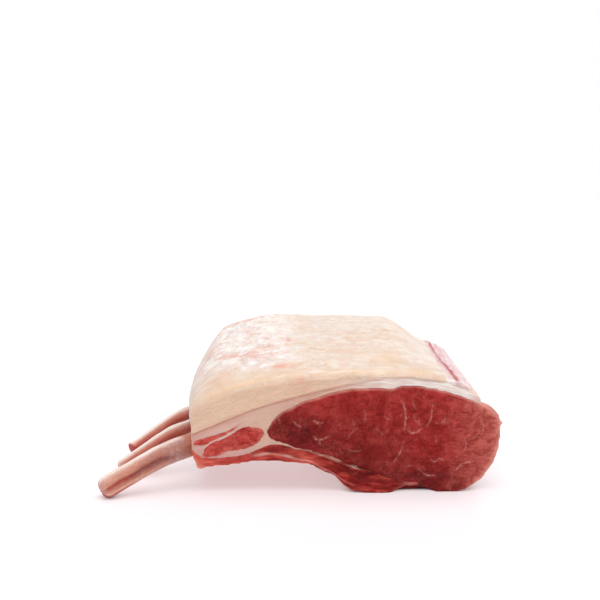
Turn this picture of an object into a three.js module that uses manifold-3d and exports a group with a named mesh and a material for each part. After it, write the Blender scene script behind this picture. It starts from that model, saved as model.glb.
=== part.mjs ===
// A raw rack of lamb, cap on: three ribs long, cut square across at both ends, with the ends of
// the rib bones scraped clean. Millimetres, +Z up. It stands as it would on a board, on the
// underside of the loin and on the tips of the bones.
//
// Every layer is drawn once, as an outline in the front cut (x to the chine side, z up), and
// carried back along y to the rear cut. One function, settle(), then gives all layers the same
// crown, so neighbours keep the same small gap between them all the way through.
import * as THREE from "three";
import { mergeVertices } from "three/addons/utils/BufferGeometryUtils.js";
import Module from "manifold-3d";

const wasm = await Module();
wasm.setup();

// Driving sizes
const RACK_LENGTH = 80; // from the front cut to the rear cut
const FACE_HEIGHT = 40; // fat cap above the board at the front cut
const LAYER_GAP = 0.3; // between neighbouring layers
const LAYER_STEPS = 10; // sections along the rack

// The crown: how much higher the rear cut stands than the front one, as a share of the height
const WALL_LIFT = 0.1; // at the rib side wall
const SHOULDER_LIFT = 0.41; // at the rounded shoulder above it
const MIDDLE_LIFT = 0.25; // over the middle
const CHINE_LIFT = 0.04; // at the chine side
const SHOULDER_FROM = -39; // the shoulder begins here
const SHOULDER_TO = -28; // is highest here
const MIDDLE_FROM = 10; // and has eased into the middle here
const CHINE_FROM = 34; // the middle falls away from here
const CHINE_TO = 49;
const LIFT_POWER = 0.7; // the low layers rise less than the fat cap

// The front and the rear cut differ a little
const CAP_SWELL = 0.25; // the cap muscle grows by this share towards the rear
const CAP_CENTRE = [-22, 17.5];
const CAP_REACH = 12;
const CHINE_SHIFT = 4; // the chine side moves out towards the rear
const WALL_BULGE = 1; // the rib side wall bows out halfway along
const FAT_WAVE = 0.45; // shallow hollows in the fat cap

// The rib bones
const BONES = [
  { root: 8, reach: 29.2 }, // y at which it leaves the meat, and how far it reaches out in x
  { root: 33, reach: 25.2 },
  { root: 60, reach: 24.8 },
];
const BONE_STEPS = 14;
const BONE_RIM = 0.9; // the scraped end is rounded over this length
const BONE_END_SIZE = 0.88; // and is this much smaller than the bone behind it

// Closed outlines in the front cut, [x, z], each a smooth curve through its points
const LOIN_EYE = [
  [-11.1, 20.4], [-7.6, 26.0], [5.1, 32.3], [18.0, 34.5], [35.7, 36.0], [52.0, 33.2],
  [65.0, 28.4], [68.0, 21.8], [66.4, 13.2], [61.6, 5.0], [50.4, -0.4], [40.5, 1.4],
  [25.5, 7.0], [6.8, 13.8], [-4.6, 16.6],
];
const CAP_MUSCLE = [
  [-32.8, 12.4], [-31.0, 15.8], [-18.0, 22.4], [-11.9, 19.9], [-16.0, 15.2], [-24.1, 13.7],
];
const CAP_STRIP = [[-35.2, 17.2], [-27.2, 20.2], [-19.7, 23.1], [-27.2, 19.0], [-34.0, 15.9]];
const CHINE_STRIP = [[50.6, 37.0], [54.4, 36.9], [57.9, 34.6], [53.4, 35.5]];
// The meat between and under the ribs, a band: [x, height of its middle line, thickness]
const RIB_BAND = [
  [-36.4, 11.0, 4.8], [-33.5, 10.0, 4.2], [-26.5, 10.1, 2.9], [-19.0, 11.3, 2.9],
  [-8.2, 13.5, 5.3], [-1.0, 12.4, 4.1], [6.5, 10.4, 4.6], [14.3, 6.9, 8.0], [22.1, 4.1, 9.0],
  [29.9, 3.0, 6.0], [35.6, 2.6, 2.0],
];
// The fat cap's top, from the rib side to the chine side, and the seam under it
const CAP_TOP = [
  [-36.6, 19.7], [-37.1, 25.0], [-35.4, 30.1], [-31.0, 32.3], [-20.4, 35.7], [-8.0, 38.7],
  [6.8, 40.1], [34.0, 40.3], [44.2, 39.8], [50.0, 38.4],
];
const SEAM = [
  [-36.6, 19.7], [-27.2, 23.6], [-13.6, 28.9], [13.6, 36.0], [27.2, 38.2], [36.0, 38.6],
  [49.6, 37.2],
];
// The inner fat's own edge beyond the seam: over the chine side, then inside the meat
const CHINE_SLOPE = [[53.0, 35.8], [56.4, 35.0], [59.2, 33.3], [61.2, 31.6], [61.6, 29.8]];
const INSIDE_MEAT = [[48, 25], [20, 20], [19, 5], [5, 11], [-20, 11], [-34.5, 9.5]];
const RIB_SIDE_END = [[-36.4, 13.5], [-36.7, 16.5]];

// A rib bone's section, [across, up]: round on top, with a groove along the front
const BONE_SECTION = [
  [0.4, 4.1], [-2.8, 3.4], [-4.4, 1.2], [-3.6, -1.2], [-4.2, -2.5], [-2.3, -3.8], [1.6, -4.0],
  [4.2, -2.4], [4.7, 0.5], [3.2, 3.1],
];
// Its middle line: how far out (1 at the tip, 0 at the wall), y from its root, z, and its size
const BONE_OUTSIDE = [
  [1, -15, 2.9, 0.92], [0.67, -10.5, 7.9, 0.92], [0.32, -5, 11.9, 0.99], [0, 0, 14.6, 1.03],
];
// and on into the meat: x, y from its root, z, and its size
const BONE_INSIDE = [
  [-24, 4, 11.4, 0.78], [-12, 7.5, 12.2, 0.7], [1, 10.5, 11.0, 0.68], [13, 13, 6.5, 0.62],
];
const WALL_X = -37; // the rib side wall

const { lerp, smoothstep } = THREE.MathUtils;

// The crown and the small differences along the rack. x and z are in the front cut, y is depth.
function settle(point) {
  const { x, y, z } = point;
  const t = y / RACK_LENGTH;
  const rise = 1 - (1 - t) ** 2;
  const high = (Math.max(z, 0) / FACE_HEIGHT) ** LIFT_POWER;
  let crown = lerp(SHOULDER_LIFT, MIDDLE_LIFT, smoothstep(x, SHOULDER_TO, MIDDLE_FROM));
  crown = lerp(WALL_LIFT, crown, smoothstep(x, SHOULDER_FROM, SHOULDER_TO));
  crown = lerp(crown, CHINE_LIFT, smoothstep(x, CHINE_FROM, CHINE_TO));
  const lift = crown * rise * high;
  const wave = FAT_WAVE * Math.sin(x / 8 + 1) * Math.sin(y / 11) * high ** 3;
  const dx = x - CAP_CENTRE[0];
  const dz = z - CAP_CENTRE[1];
  const swell = CAP_SWELL * t * Math.exp(-(dx * dx + dz * dz) / CAP_REACH ** 2);
  const chine = CHINE_SHIFT * t * smoothstep(x, 30, 50) * (1 - smoothstep(x, 58, 70));
  const bulge = WALL_BULGE * Math.sin(Math.PI * t) * (1 - smoothstep(x, -37, -20));
  return point.set(x + dx * swell + chine - bulge, y, z * (1 + lift) + dz * swell + wave);
}

// Moves every vertex of a geometry by a function of its place.
function moveVertices(geometry, move) {
  const position = geometry.getAttribute("position");
  const point = new THREE.Vector3();
  for (let i = 0; i < position.count; i++) {
    move(point.fromBufferAttribute(position, i));
    position.setXYZ(i, point.x, point.y, point.z);
  }
  return geometry;
}

// A smooth curve through [x, z] points, as Vector2 points, perSpan of them in each span.
function smoothLine(points, closed, perSpan) {
  const knots = points.map(([x, z]) => new THREE.Vector3(x, z, 0));
  const curve = new THREE.CatmullRomCurve3(knots, closed, "centripetal");
  const spans = closed ? points.length : points.length - 1;
  const line = curve.getPoints(spans * perSpan).map((p) => new THREE.Vector2(p.x, p.y));
  if (closed) line.pop();
  return line;
}

// The closed outline of a band given by its middle line and thickness.
function bandOutline(band, perSpan) {
  const edge = (side) => band.map(([x, z, thickness]) => [x, z + (side * thickness) / 2]);
  return [...smoothLine(edge(1), false, perSpan), ...smoothLine(edge(-1), false, perSpan).reverse()];
}

// A closed outline made wider all round by a distance.
function widened(outline, distance) {
  const side = THREE.ShapeUtils.isClockWise(outline) ? 1 : -1;
  return outline.map((p, i) => {
    const before = outline.at(i - 1);
    const after = outline[(i + 1) % outline.length];
    const along = after.clone().sub(before).normalize();
    return new THREE.Vector2(p.x - along.y * distance * side, p.y + along.x * distance * side);
  });
}

// An outline in the front cut carried back from y = from to y = to, then settled.
function layer(outline, from = 0, to = RACK_LENGTH) {
  const geometry = new THREE.ExtrudeGeometry(new THREE.Shape(outline), {
    depth: to - from,
    steps: LAYER_STEPS,
    bevelEnabled: false,
  });
  geometry.rotateX(Math.PI / 2);
  geometry.translate(0, to, 0);
  return solidOf(moveVertices(geometry, settle));
}

// The same layer, wider and longer by the gap, to cut its neighbours with.
const layerCutter = (outline) => layer(widened(outline, LAYER_GAP), -2, RACK_LENGTH + 2);

// A rib bone: its section carried along its middle line, thicker where it leaves the meat.
function ribBone({ root, reach }, extra = 0) {
  const stations = [
    ...BONE_OUTSIDE.map(([out, ...rest]) => [WALL_X - out * reach, ...rest]),
    ...BONE_INSIDE,
  ];
  const line = stations.map(([x, y, z]) => settle(new THREE.Vector3(x, root + y, z)));
  const path = new THREE.CatmullRomCurve3(line);
  const length = path.getLength();
  const sizeLine = new THREE.SplineCurve(
    stations.map(([, , , size], i) => new THREE.Vector2(i, size)),
  );
  const outline = widened(smoothLine(BONE_SECTION, true, 2), extra);
  const straight = new THREE.ExtrudeGeometry(new THREE.Shape(outline), {
    depth: 1,
    steps: BONE_STEPS,
    bevelEnabled: false,
  });
  moveVertices(straight, (point) => {
    const ring = Math.round(point.z * BONE_STEPS);
    const reached = ring ? BONE_RIM + ((ring - 1) / (BONE_STEPS - 1)) * (length - BONE_RIM) : 0;
    const u = reached / length;
    const size = sizeLine.getPoint(path.getUtoTmapping(u)).y * (ring ? 1 : BONE_END_SIZE);
    const along = path.getTangentAt(u);
    const across = new THREE.Vector3(0, 1, 0).addScaledVector(along, -along.y).normalize();
    const up = new THREE.Vector3().crossVectors(along, across).normalize();
    across.multiplyScalar(point.x * size);
    up.multiplyScalar(point.y * size);
    point.copy(path.getPointAt(u)).add(across).add(up);
  });
  return solidOf(straight);
}

function solidOf(geometry) {
  const bare = new THREE.BufferGeometry();
  bare.setAttribute("position", geometry.getAttribute("position"));
  const merged = mergeVertices(bare, 1e-4);
  return new wasm.Manifold(
    new wasm.Mesh({
      numProp: 3,
      vertProperties: new Float32Array(merged.attributes.position.array),
      triVerts: new Uint32Array(merged.index.array),
    }),
  );
}

function geometryOf(solid) {
  const mesh = solid.getMesh();
  const geometry = new THREE.BufferGeometry();
  geometry.setAttribute("position", new THREE.BufferAttribute(mesh.vertProperties, 3));
  geometry.setIndex(new THREE.BufferAttribute(mesh.triVerts, 1));
  geometry.computeVertexNormals();
  return geometry;
}

// Cuts cutters from a solid and drops any scrap, keeping its largest piece.
function cutAway(solid, cutters) {
  const left = cutters.reduce((rest, cutter) => rest.subtract(cutter), solid);
  return left.decompose().sort((a, b) => b.volume() - a.volume())[0];
}

// The board: what would reach below it is cut flat.
const board = solidOf(new THREE.BoxGeometry(300, 300, 20).translate(0, 0, -10).toNonIndexed());

const loinEye = smoothLine(LOIN_EYE, true, 2);
const capMuscle = smoothLine(CAP_MUSCLE, true, 3);
const capStrip = smoothLine(CAP_STRIP, true, 3);
const chineStrip = smoothLine(CHINE_STRIP, true, 3);
const ribMeat = bandOutline(RIB_BAND, 2);
const seam = smoothLine(SEAM, false, 3);
const capTop = smoothLine(CAP_TOP, false, 2);

const raised = (line, dz) => line.map((p) => new THREE.Vector2(p.x, p.y + dz));
const outerFat = [...capTop.slice(1, -1), ...raised(seam, LAYER_GAP / 2).reverse()];
const innerFat = [
  ...raised(seam, -LAYER_GAP / 2),
  ...[...CHINE_SLOPE, ...INSIDE_MEAT, ...RIB_SIDE_END].map(([x, z]) => new THREE.Vector2(x, z)),
];

const eyeCutter = layerCutter(loinEye);
const chineCutter = layerCutter(chineStrip);
const otherCutters = [ribMeat, capMuscle, capStrip].map(layerCutter);
const boneCutters = BONES.map((bone) => ribBone(bone, LAYER_GAP));

const pieces = [
  ["outer_fat", 0xf0d9c8, layer(outerFat)],
  [
    "inner_fat",
    0xe0bfae,
    cutAway(layer(innerFat), [eyeCutter, chineCutter, ...otherCutters, ...boneCutters]),
  ],
  ["loin_eye", 0x96322f, cutAway(layer(loinEye), [board, ...boneCutters])],
  ["cap_muscle", 0xb04744, cutAway(layer(capMuscle), boneCutters)],
  ["cap_strip", 0xc67c75, cutAway(layer(capStrip), boneCutters)],
  ["chine_strip", 0xb9605a, layer(chineStrip, 1.5, RACK_LENGTH - 1.5)],
  ["rib_meat", 0xb0413f, cutAway(layer(ribMeat), [board, eyeCutter, ...boneCutters])],
  ...BONES.map((bone, i) => [`rib_bone_${i + 1}`, 0xc78f80, cutAway(ribBone(bone), [board])]),
];

const rack = new THREE.Group();
for (const [name, color, solid] of pieces) {
  const material = new THREE.MeshStandardMaterial({ color, roughness: 0.4, metalness: 0 });
  const mesh = new THREE.Mesh(geometryOf(solid), material);
  mesh.name = name;
  rack.add(mesh);
}

// The origin is on the board, under the middle of the rack's own box.
const box = new THREE.Box3().setFromObject(rack);
const middle = box.getCenter(new THREE.Vector3());
rack.position.set(-middle.x, -middle.y, -box.min.z);

export default rack;
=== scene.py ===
"""A raw rack of lamb, cap on: the looks of its fat, muscle and scraped bones.

Each layer is drawn in a straight frame, in millimetres: x across the front cut, y back along the
rack, z up. It is carried back as a fine skin, given its relief and its colour masks there, and
only then settled into the rack's crown and set down where the frame holds its node.
"""

import math
import random

import bmesh
import bpy
import numpy as np
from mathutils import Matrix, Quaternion, Vector, kdtree, noise


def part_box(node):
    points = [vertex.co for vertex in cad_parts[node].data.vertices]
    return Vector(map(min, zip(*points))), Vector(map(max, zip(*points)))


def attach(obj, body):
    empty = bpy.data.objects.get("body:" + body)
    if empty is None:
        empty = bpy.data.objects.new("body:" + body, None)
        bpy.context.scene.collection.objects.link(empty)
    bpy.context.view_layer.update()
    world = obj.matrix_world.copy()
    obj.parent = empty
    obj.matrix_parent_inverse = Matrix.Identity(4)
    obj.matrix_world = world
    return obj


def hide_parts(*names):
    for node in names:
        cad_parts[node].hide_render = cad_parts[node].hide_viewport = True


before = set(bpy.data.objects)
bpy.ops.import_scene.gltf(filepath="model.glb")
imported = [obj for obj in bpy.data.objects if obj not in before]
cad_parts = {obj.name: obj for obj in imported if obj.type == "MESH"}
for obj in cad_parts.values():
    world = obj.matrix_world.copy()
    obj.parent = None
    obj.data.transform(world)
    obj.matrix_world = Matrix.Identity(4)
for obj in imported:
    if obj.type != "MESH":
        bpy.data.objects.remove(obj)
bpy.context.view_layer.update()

# ---------------------------------------------------------------- real sizes, in millimetres

RACK_LENGTH = 80.0  # from the front cut to the rear cut
FACE_HEIGHT = 40.0  # fat cap above the board at the front cut
CLOSING = 0.24  # each layer grows by this into the frame's gaps, to touch its neighbours
LAPPED = 0.5  # the cap reaches this far under the seam

CUT_DEPTH = 0.6  # a face this near a cut gets a finer grain
COVERED_DEPTH = 1.5  # the fat this far behind a muscle's edge never shows

# Outlines in the front cut, [x, z], each a smooth closed curve through its points
LOIN_EYE = [
    (-11.1, 20.4), (-7.6, 26.0), (-2.0, 29.4), (5.1, 32.2), (11.6, 34.0), (16.5, 35.2), (21.4, 35.3),
    (27.2, 35.7), (30.9, 35.2), (33.0, 36.0), (36.0, 36.4), (40.8, 36.1), (45.6, 35.2), (50.5, 34.1),
    (55.4, 32.4), (60.2, 30.5), (64.6, 28.6), (67.2, 25.7), (68.2, 21.8), (66.9, 12.8), (62.2, 4.6),
    (55.5, 0.4), (50.4, -0.4), (45.4, -0.2), (44.2, 0.9), (41.6, 1.7), (38.9, 2.2), (35.0, 2.6),
    (31.1, 4.0), (26.2, 6.0), (21.4, 7.7), (16.5, 9.2), (13.1, 10.9), (9.9, 12.1), (6.8, 12.9),
    (1.7, 14.3), (-1.7, 15.1), (-5.1, 16.4), (-8.5, 17.4),
]
CAP_MUSCLE = [
    (-33.0, 12.1), (-32.4, 14.6), (-31.0, 16.2), (-26.9, 18.0), (-23.5, 19.7), (-20.1, 21.8),
    (-17.3, 22.4), (-13.9, 21.6), (-11.9, 20.4), (-13.4, 17.8), (-17.3, 15.1), (-22.4, 13.9),
    (-25.8, 13.5), (-27.4, 12.3), (-30.4, 11.6),
]
CAP_STRIP = [
    (-36.2, 17.1), (-34.0, 18.1), (-30.6, 19.1), (-27.2, 20.1), (-23.8, 21.4), (-20.4, 23.2),
    (-22.8, 20.9), (-25.5, 19.2), (-27.9, 18.1), (-30.3, 16.9), (-32.3, 15.9), (-34.2, 15.6),
    (-36.2, 16.0),
]
CHINE_STRIP = [(48.9, 37.5), (51.0, 37.3), (54.4, 36.9), (57.9, 34.6), (53.4, 35.5), (49.0, 36.4)]
# The meat between and under the ribs, a band: (x, height of its middle line, thickness)
RIB_BAND = [
    (-36.5, 11.5, 6.4), (-34.0, 9.9, 4.0), (-31.3, 10.1, 3.1), (-26.5, 10.3, 2.7), (-19.0, 11.3, 2.7),
    (-15.3, 12.2, 3.5), (-11.9, 13.1, 4.8), (-8.5, 13.3, 5.7), (-5.1, 13.0, 5.5), (-1.7, 12.2, 4.6),
    (3.4, 11.35, 4.3), (8.5, 9.45, 5.3), (11.6, 8.1, 5.6), (14.6, 6.1, 7.4), (18.0, 4.75, 7.7),
    (21.4, 3.75, 7.3), (26.2, 2.75, 6.2), (30.0, 2.1, 4.4), (33.2, 2.1, 3.0), (35.6, 2.5, 1.8),
    (38.0, 2.5, 1.2), (40.4, 2.3, 0.8),
]
# The pale sheets that run along it, [x, z]
UPPER_SHEET = [
    (-17, 12.3), (-10.5, 13.0), (-5, 12.2), (-1.7, 11.4), (3.4, 10.3), (6.1, 8.9), (8.5, 7.5),
    (12, 5.2),
]
LOWER_SHEET = [(-6, 12.3), (2, 10.6), (7, 8.4), (11, 6.2), (14.5, 3.9), (18, 2.6), (21, 2.4)]
# The fat cap's top, the seam under it, and the edges of the fat below: the slope at the chine
# side, the line through the meat, and the end at the rib side
CAP_TOP = [
    (-36.6, 19.7), (-37.1, 25.0), (-35.4, 30.1), (-31.0, 32.3), (-20.4, 35.7), (-8.0, 38.7),
    (6.8, 40.1), (34.0, 40.3), (44.2, 39.8), (50.0, 38.4),
]
SEAM = [
    (-36.6, 19.7), (-27.2, 23.6), (-13.6, 28.9), (13.6, 36.0), (27.2, 38.2), (36.0, 38.6),
    (49.6, 37.2),
]
CHINE_SLOPE = [(53.0, 35.8), (56.4, 35.0), (59.2, 33.3), (61.2, 31.6), (61.6, 29.8)]
INSIDE_MEAT = [(48, 25), (20, 20), (19, 5), (5, 11), (-20, 11), (-34.5, 9.5)]
RIB_SIDE_END = [(-36.4, 13.5), (-36.7, 16.5)]

# How thick the cap is over the seam: x, thickness
CAP_THICK = np.array(
    [(-37, 3), (-35, 10), (-31, 10.5), (-20.4, 9.5), (-8, 8), (6.8, 6), (20, 3.2), (34, 1.8), (48, 1.6)]
)

# The rib bones: y at which each leaves the meat, how far it reaches out in x, its girth against
# the section below, how much higher its middle arches, and its worn end: the share of its
# section at the tip, and in what length it fills out
BONES = [
    (8.0, 29.2, 0.98, 0.0, (0.45, 2.6)), (33.0, 25.2, 0.88, 0.3, (0.5, 2.0)),
    (60.0, 23.9, 0.88, 0.2, (0.85, 0.7)),
]
WALL_X = -37.0  # the rib side of the meat, where the bones come out
# A bone's section, [along the rack, up], from its crest round by its front
BONE_SECTION = [
    (0.4, 4.1), (-2.8, 3.4), (-4.4, 1.2), (-3.6, -1.2), (-4.2, -2.5), (-2.3, -3.8), (1.6, -4.0),
    (4.2, -2.4), (4.7, 0.5), (3.2, 3.1),
]
# Its middle line: how far out (1 at the tip, 0 at the wall), y from its root, z, and its size
BONE_OUTSIDE = [
    (1, -15.4, 2.6, 0.94), (0.67, -10.5, 7.4, 0.91), (0.32, -5, 11.9, 0.96), (0, 0, 14.2, 1.0),
]
# and on into the meat: x, y from its root, z, and its size
BONE_INSIDE = [
    (-32.5, 2.0, 15.4, 0.9), (-24, 4, 11.8, 0.78), (-12, 7.5, 12.2, 0.7), (1, 10.5, 11.0, 0.68),
    (13, 13, 6.5, 0.62),
]

BONE_GRAIN = 0.42  # between the rings of a bone
BONE_SIDES = 72  # points in each ring
GROOVE_DEPTH = 0.55

# The straight frame's origin in the part's own frame: the loin eye's front left corner
eye_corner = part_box("loin_eye")[0]
FRAME_SHIFT = np.array([eye_corner[0] * 1000 - LOIN_EYE[0][0], eye_corner[1] * 1000, 0.0])

# The camera, in the straight frame, and its lens
CAMERA_PLACE = (-11.99, -360.55, 104.05)
CAMERA_TARGET = (-0.27, 0, 65.41)
CAMERA_LENS = 65.08
CAMERA_ROLL = 0.26  # in degrees


# ---------------------------------------------------------------- small tools

def smoothstep(value, low, high):
    t = np.clip((value - low) / (high - low), 0, 1)
    return t * t * (3 - 2 * t)


def lerp(a, b, share):
    return a + (b - a) * share


def soft_band(value, middle, width):
    """1 where a value is at the middle, fading to 0 on both sides of it."""
    return np.exp(-(((value - middle) / width) ** 2))


def settle(points):
    """The rack's crown, and the small differences between its front and its rear cut."""
    x, y, z = points.T
    t = y / RACK_LENGTH
    rise = 1 - (1 - t) ** 2
    high = (np.maximum(z, 0) / FACE_HEIGHT) ** 0.7
    crown = lerp(0.41, 0.25, smoothstep(x, -28, 10))
    crown = lerp(0.1, crown, smoothstep(x, -39, -28))
    crown = lerp(crown, 0.04, smoothstep(x, 34, 49))
    wave = 0.45 * np.sin(x / 8 + 1) * np.sin(y / 11) * high**3
    dx, dz = x + 22, z - 17.5
    swell = 0.25 * t * np.exp(-(dx**2 + dz**2) / 12**2)
    chine = 4 * t * smoothstep(x, 30, 50) * (1 - smoothstep(x, 58, 70))
    belly = np.sin(np.pi * np.clip(t, 0, 1))
    rib_side = belly * (1 - smoothstep(x, -37, -20)) * (1 + smoothstep(z, 15, 24))
    return np.stack(
        [x + dx * swell + chine - rib_side, y, z * (1 + crown * rise * high) + dz * swell + wave],
        axis=1,
    )


def smooth_line(points, closed=True, step=0.5):
    """A smooth curve through the points, as an array of points about step apart."""
    p = np.asarray(points, float)
    if closed:
        p = np.vstack([p[-1], p, p[:2]])
    else:
        p = np.vstack([2 * p[0] - p[1], p, 2 * p[-1] - p[-2]])
    line = []
    for p0, p1, p2, p3 in zip(p, p[1:], p[2:], p[3:]):
        pairs = ((p0, p1), (p1, p2), (p2, p3))
        t1, t2, t3 = np.cumsum([np.linalg.norm(b - a) ** 0.5 for a, b in pairs])
        count = max(2, math.ceil(np.linalg.norm(p2 - p1) / step))
        t = np.linspace(t1, t2, count, endpoint=False)[:, None]
        a1 = lerp(p0, p1, t / t1)
        a2 = lerp(p1, p2, (t - t1) / (t2 - t1))
        a3 = lerp(p2, p3, (t - t2) / (t3 - t2))
        b1 = lerp(a1, a2, t / t2)
        b2 = lerp(a2, a3, (t - t1) / (t3 - t1))
        line.append(lerp(b1, b2, (t - t1) / (t2 - t1)))
    if not closed:
        line.append(p[-2:-1])
    return np.vstack(line)


def band_outline(band):
    """The closed outline of a band given by its middle line and its thickness."""
    band = np.array(band)
    top = smooth_line(np.stack([band[:, 0], band[:, 1] + band[:, 2] / 2], 1), False)
    bottom = smooth_line(np.stack([band[:, 0], band[:, 1] - band[:, 2] / 2], 1), False)
    return np.vstack([top, bottom[::-1]])


def square_to(outline):
    """The direction square to a closed outline at each of its points."""
    along = np.roll(outline, -1, 0) - np.roll(outline, 1, 0)
    along /= np.linalg.norm(along, axis=1)[:, None]
    return np.stack([-along[:, 1], along[:, 0]], 1)


def widened(outline, distance):
    """A closed outline moved outwards all round."""
    x, z = outline.T
    clockwise = np.sum(x * np.roll(z, -1) - z * np.roll(x, -1)) < 0
    side = 1 if clockwise else -1
    return outline + side * distance * square_to(outline)


def lumps(points, size, seed, octaves=3):
    """Soft random relief, about -1 to 1, in lumps of size mm: one number, or one for each axis."""
    scaled = points / np.array(size) + seed * 13.7
    return np.array([noise.fractal(p, 1.0, 2.0, octaves) for p in scaled.tolist()])


def creases(points, size, seed, octaves=3):
    """Thin random ridges, 0 between them and 1 on them, size mm apart."""
    return 1 - np.clip(np.abs(lumps(points, size, seed, octaves)) * 3, 0, 1)


def nearest_on(line, places):
    """How far each place is from a line of points, and the nearest one's number; as [x, z]."""
    tree = kdtree.KDTree(len(line))
    for i, (x, z) in enumerate(line.tolist()):
        tree.insert((x, z, 0), i)
    tree.balance()
    found = [tree.find((x, z, 0)) for x, z in places.tolist()]
    return np.array([f[2] for f in found]), np.array([f[1] for f in found])


# ---------------------------------------------------------------- fine skins

def read(mesh, group, what):
    """What a mesh holds of one kind, as rows of three numbers."""
    items = getattr(mesh, group)
    values = np.empty(len(items) * 3, np.float32)
    items.foreach_get(what, values)
    return values.reshape(-1, 3).astype(float)


def write(mesh, points):
    mesh.vertices.foreach_set("co", points.astype(np.float32).ravel())
    mesh.update()


class Skin:
    """A layer's fine closed surface in the straight frame, shaped by moving its points.

    At each point, inside is how far it lies from the layer's outline and run how far round it,
    end how far from the nearer cut, cut is 1 on the cuts, and side 1 off them. masks are the
    amounts from 0 to 1 that its material reads, and flow is the way its long patterns run.
    """

    def __init__(self, name, outline, grain, finer=(1, 0), front=0.0, rear=RACK_LENGTH, hidden=None):
        self.name = name
        self.outline = outline
        self.front, self.rear = front, rear
        self.mesh = self.even_mesh(grain)
        self.refine_cuts(finer, hidden)
        self.points = read(self.mesh, "vertices", "co")
        self.masks = {}
        y = self.points[:, 1]
        self.inside, nearest = nearest_on(outline, self.points[:, [0, 2]])
        lengths = np.linalg.norm(np.diff(outline, axis=0, append=outline[:1]), axis=1)
        self.run = np.concatenate([[0], np.cumsum(lengths)])[nearest]
        self.flow = np.stack([self.run, y, self.inside], 1)
        self.end = np.minimum(y - front, rear - y)
        self.facing = self.normals()
        self.cut = smoothstep(np.abs(self.facing[:, 1]), 0.5, 0.85) * (self.end < 2)
        self.side = 1 - self.cut

    def even_mesh(self, grain):
        """The outline carried back from the front cut to the rear one, as a closed mesh of one
        even grain, its edges a little rounded."""
        bm = bmesh.new()
        rings = [
            [bm.verts.new((x, y, z)) for x, z in self.outline.tolist()]
            for y in (self.front, self.rear)
        ]
        bm.faces.new(rings[0])
        bm.faces.new(rings[1][::-1])
        for i in range(len(rings[0])):
            bm.faces.new((rings[0][i], rings[0][i - 1], rings[1][i - 1], rings[1][i]))
        bmesh.ops.recalc_face_normals(bm, faces=bm.faces)
        rough = bpy.data.meshes.new(self.name)
        bm.to_mesh(rough)
        bm.free()
        holder = bpy.data.objects.new("holder", rough)
        bpy.context.collection.objects.link(holder)
        remesh = holder.modifiers.new("Remesh", "REMESH")
        remesh.mode = "VOXEL"
        remesh.voxel_size = grain
        smooth = holder.modifiers.new("Smooth", "SMOOTH")
        smooth.factor, smooth.iterations = 0.5, 2
        shaped = holder.evaluated_get(bpy.context.evaluated_depsgraph_get())
        mesh = bpy.data.meshes.new_from_object(shaped)
        bpy.data.objects.remove(holder)
        bpy.data.meshes.remove(rough)
        mesh.name = self.name
        return mesh

    def refine_cuts(self, finer, hidden):
        """Gives the cuts a finer grain, for their small relief and their veins. finer is how often
        an edge is cut at the front cut and at the rear one; hidden says which places [x, z] of a
        cut other layers cover."""
        bm = bmesh.new()
        bm.from_mesh(self.mesh)
        for cuts, cut_y in zip(finer, (self.front, self.rear)):
            if not cuts:
                continue
            near = [f for f in bm.faces if all(abs(v.co.y - cut_y) < CUT_DEPTH for v in f.verts)]
            if hidden:
                middles = np.array([f.calc_center_median() for f in near])[:, [0, 2]]
                near = [f for f, covered in zip(near, hidden(middles)) if not covered]
            edges = list(dict.fromkeys(e for f in near for e in f.edges))
            bmesh.ops.subdivide_edges(bm, edges=edges, cuts=cuts, use_grid_fill=True)
        bm.to_mesh(self.mesh)
        bm.free()

    def normals(self):
        write(self.mesh, self.points)
        return read(self.mesh, "vertex_normals", "vector")

    def push_cut(self, amount):
        """Moves the cuts outwards by an amount for each point, fading out 3 mm behind them."""
        fade = np.clip(1 - self.end / 3, 0, 1)
        outwards = np.where(self.points[:, 1] < (self.front + self.rear) / 2, -1, 1)
        self.points[:, 1] += outwards * amount * fade

    def raise_by(self, amount):
        """Moves each point out of the surface by an amount."""
        self.points += self.normals() * amount[:, None]


def finish_piece(skin, material, slot, *nodes):
    """Settles a skin into the crown and sets it down in place of its CAD nodes."""
    points = settle(skin.points)
    points[:, 2] = np.maximum(points[:, 2], 0)
    write(skin.mesh, (points + FRAME_SHIFT) / 1000)
    place_piece(skin.name, skin.mesh, skin.masks, skin.flow, material, slot, *nodes)


def place_piece(name, mesh, masks, flow, material, slot, *nodes):
    """Gives a mesh its masks and its material, and puts it in place of its CAD nodes."""
    for mask, values in masks.items():
        layer = mesh.attributes.new(mask, "FLOAT", "POINT")
        layer.data.foreach_set("value", np.clip(values, 0, 1).astype(np.float32))
    layer = mesh.attributes.new("flow", "FLOAT_VECTOR", "POINT")
    layer.data.foreach_set("vector", (flow / 1000).astype(np.float32).ravel())
    mesh.shade_smooth()
    mesh.materials.clear()
    mesh.materials.append(material)
    piece = bpy.data.objects.new(name, mesh)
    bpy.context.collection.objects.link(piece)
    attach(piece, "root")
    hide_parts(*nodes)


# ---------------------------------------------------------------- materials

def linear(code):
    """An sRGB hex colour as the linear colour that a shader takes."""
    channels = [int(code[i : i + 2], 16) / 255 for i in (1, 3, 5)]
    return (*(c / 12.92 if c <= 0.04045 else ((c + 0.055) / 1.055) ** 2.4 for c in channels), 1)


def node(tree, kind, inputs=None, **settings):
    """Adds one shader node. inputs maps its sockets to values or to other nodes' outputs."""
    made = tree.nodes.new(kind)
    for name, value in settings.items():
        setattr(made, name, value)
    for socket, value in (inputs or {}).items():
        if isinstance(value, bpy.types.NodeSocket):
            tree.links.new(value, made.inputs[socket])
        else:
            made.inputs[socket].default_value = value
    return made


def per_mm(size):
    """A texture's scale for features of this size in mm, in coordinates in metres."""
    return 1000 / size


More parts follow.
